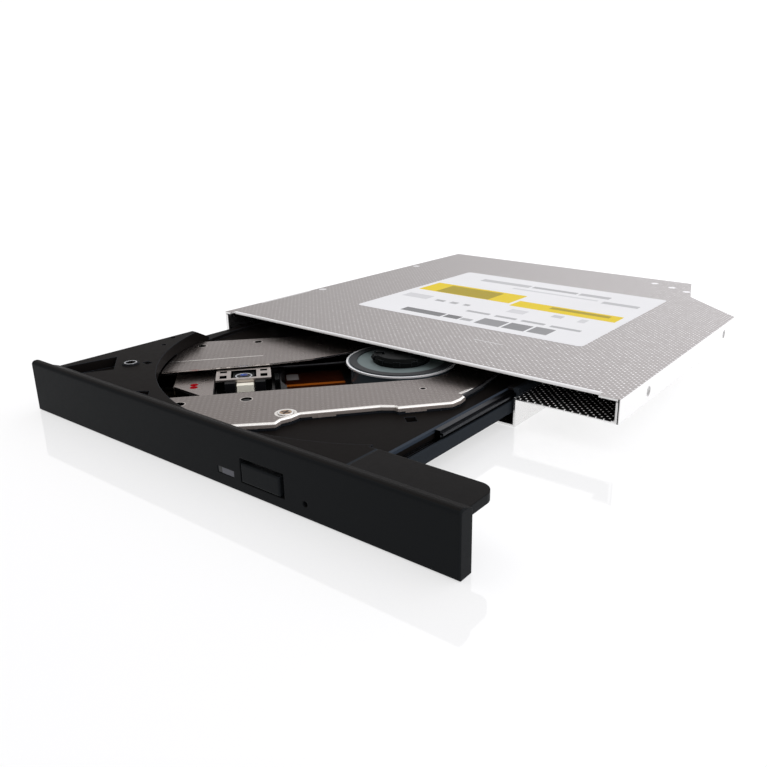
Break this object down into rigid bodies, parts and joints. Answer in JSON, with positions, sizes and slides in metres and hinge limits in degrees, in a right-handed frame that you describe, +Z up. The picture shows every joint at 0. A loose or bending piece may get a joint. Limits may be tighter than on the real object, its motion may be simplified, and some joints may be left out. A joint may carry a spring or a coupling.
{
  "type": "internal dvd drive",
  "caption": "Slim internal disc drive with a steel case, a black tray slid partly out, turntable, lens pickup and front panel with button.",
  "frame": {"origin": "middle of the case's bottom face", "axes": "+X to the right seen from the front panel, +Y to the back of the case, +Z up"},
  "size_m": [0.128, 0.1865, 0.0127],
  "materials": {
    "cover_steel": "satin",
    "tray_plastic": "matte",
    "bezel_plastic": "fine grain",
    "rail_steel": "satin",
    "lamp_lens": "clear smoked",
    "board": "solder mask",
    "deck_steel": "brushed",
    "brass": "plain",
    "chassis_steel": "satin",
    "shaft_steel": "ground",
    "rubber": "matte",
    "copper": "enamelled copper",
    "rotor_metal": "turned",
    "hub_plastic": "satin",
    "sled_metal": "die cast",
    "magnet": "coated",
    "lens_glass": "coated",
    "socket_plastic": "ivory",
    "flex_film": "amber film"
  },
  "bodies": {
    "case": {"top_cover": "cover_steel", "bottom_cover": "cover_steel", "case_guide_right": "tray_plastic", "case_guide_left": "tray_plastic", "main_board": "board", "sata_connector": "hub_plastic", "main_flex_socket": "socket_plastic", "controller_chips": "hub_plastic", "latch_pin": "rail_steel", "main_flex": "flex_film", "side_nuts": "shaft_steel"},
    "rail_right": {"slide_rail_right": "rail_steel"},
    "rail_left": {"slide_rail_left": "rail_steel"},
    "button": {"eject_button": "bezel_plastic", "switch_plunger": "bezel_plastic"},
    "spindle": {"spindle_rotor": "rotor_metal", "turntable_pad": "rubber", "clamp_hub": "hub_plastic"},
    "claw_1": {"hub_claw_1": "hub_plastic"},
    "claw_2": {"hub_claw_2": "hub_plastic"},
    "claw_3": {"hub_claw_3": "hub_plastic"},
    "pickup": {"sled_base": "sled_metal", "sled_cover": "deck_steel", "actuator_frame": "deck_steel", "actuator_magnets": "magnet", "laser_unit": "rail_steel", "feed_nut": "hub_plastic", "suspension_block": "socket_plastic"},
    "lens": {"lens_holder": "hub_plastic", "objective_lens": "lens_glass"},
    "feed": {"feed_screw": "shaft_steel"},
    "latch": {"latch_lever": "bezel_plastic"},
    "plunger": {"eject_plunger": "hub_plastic"},
    "tray": {"tray_frame": "tray_plastic", "bezel": "bezel_plastic", "lamp_window": "lamp_lens", "front_board": "board", "eject_switch": "rail_steel", "activity_lamp": "lamp_lens", "latch_solenoid": "rail_steel", "lever_post": "rail_steel", "deck_plate": "deck_steel", "deck_screws": "brass", "traverse_chassis": "chassis_steel", "guide_shaft_front": "shaft_steel", "guide_shaft_rear": "shaft_steel", "chassis_dampers": "rubber", "chassis_screws": "rail_steel", "feed_motor": "shaft_steel", "feed_brackets": "chassis_steel", "spindle_base": "brass", "stator_coils": "copper", "tray_bottom_cover": "deck_steel", "cover_screws": "rail_steel", "tray_board": "board", "tray_flex_socket": "socket_plastic", "eject_spring": "shaft_steel", "plunger_carrier": "tray_plastic", "pickup_flex": "flex_film"}
  },
  "joints": [
    {"name": "tray_slide", "type": "slide", "parent": "case", "child": "tray", "axis": [0, -1, 0], "range_m": [-0.0559, 0.0641], "deforming": ["main_flex"]},
    {"name": "rail_right_slide", "type": "slide", "parent": "case", "child": "rail_right", "axis": [0, -1, 0], "range_m": [-0.02795, 0.03205]},
    {"name": "rail_left_slide", "type": "slide", "parent": "case", "child": "rail_left", "axis": [0, -1, 0], "range_m": [-0.02795, 0.03205]},
    {"name": "eject_button_press", "type": "slide", "parent": "tray", "child": "button", "axis": [0, 1, 0], "range_m": [0, 0.0008], "stiffness_N_per_m": 1200},
    {"name": "spindle_spin", "type": "hinge", "parent": "tray", "child": "spindle", "pos_m": [0.00176, -0.05998, 0], "axis": [0, 0, 1], "continuous": true},
    {"name": "pickup_slide", "type": "slide", "parent": "tray", "child": "pickup", "axis": [-0.6561, -0.7547, 0], "range_m": [-0.0175, 0.0172]},
    {"name": "feed_screw_turn", "type": "hinge", "parent": "tray", "child": "feed", "pos_m": [0.01022, -0.08058, 0.0043], "axis": [-0.6561, -0.7547, 0], "range_deg": [-2100, 2064]},
    {"name": "lens_focus", "type": "slide", "parent": "pickup", "child": "lens", "axis": [0, 0, 1], "range_m": [-0.0004, 0.0004], "stiffness_N_per_m": 30},
    {"name": "latch_swing", "type": "hinge", "parent": "tray", "child": "latch", "pos_m": [0.0245, -0.1062, 0], "axis": [0, 0, 1], "range_deg": [-25, 0]},
    {"name": "eject_plunger_slide", "type": "slide", "parent": "tray", "child": "plunger", "axis": [0, 1, 0], "range_m": [-0.0065, 0], "stiffness_N_per_m": 150, "springref_m": 0.004, "deforming": ["eject_spring"]},
    {"name": "claw_1_slide", "type": "slide", "parent": "spindle", "child": "claw_1", "axis": [-0.6561, -0.7547, 0], "range_m": [-0.0004, 0], "stiffness_N_per_m": 500},
    {"name": "claw_2_slide", "type": "slide", "parent": "spindle", "child": "claw_2", "axis": [0.9816, -0.1908, 0], "range_m": [-0.0004, 0], "stiffness_N_per_m": 500},
    {"name": "claw_3_slide", "type": "slide", "parent": "spindle", "child": "claw_3", "axis": [-0.3256, 0.9455, 0], "range_m": [-0.0004, 0], "stiffness_N_per_m": 500}
  ],
  "couplings": [
    {"joint": "rail_right_slide", "follows": "tray_slide", "ratio": 0.5},
    {"joint": "rail_left_slide", "follows": "tray_slide", "ratio": 0.5},
    {"joint": "feed_screw_turn", "follows": "pickup_slide", "rad_per_m": 2094.4}
  ]
}
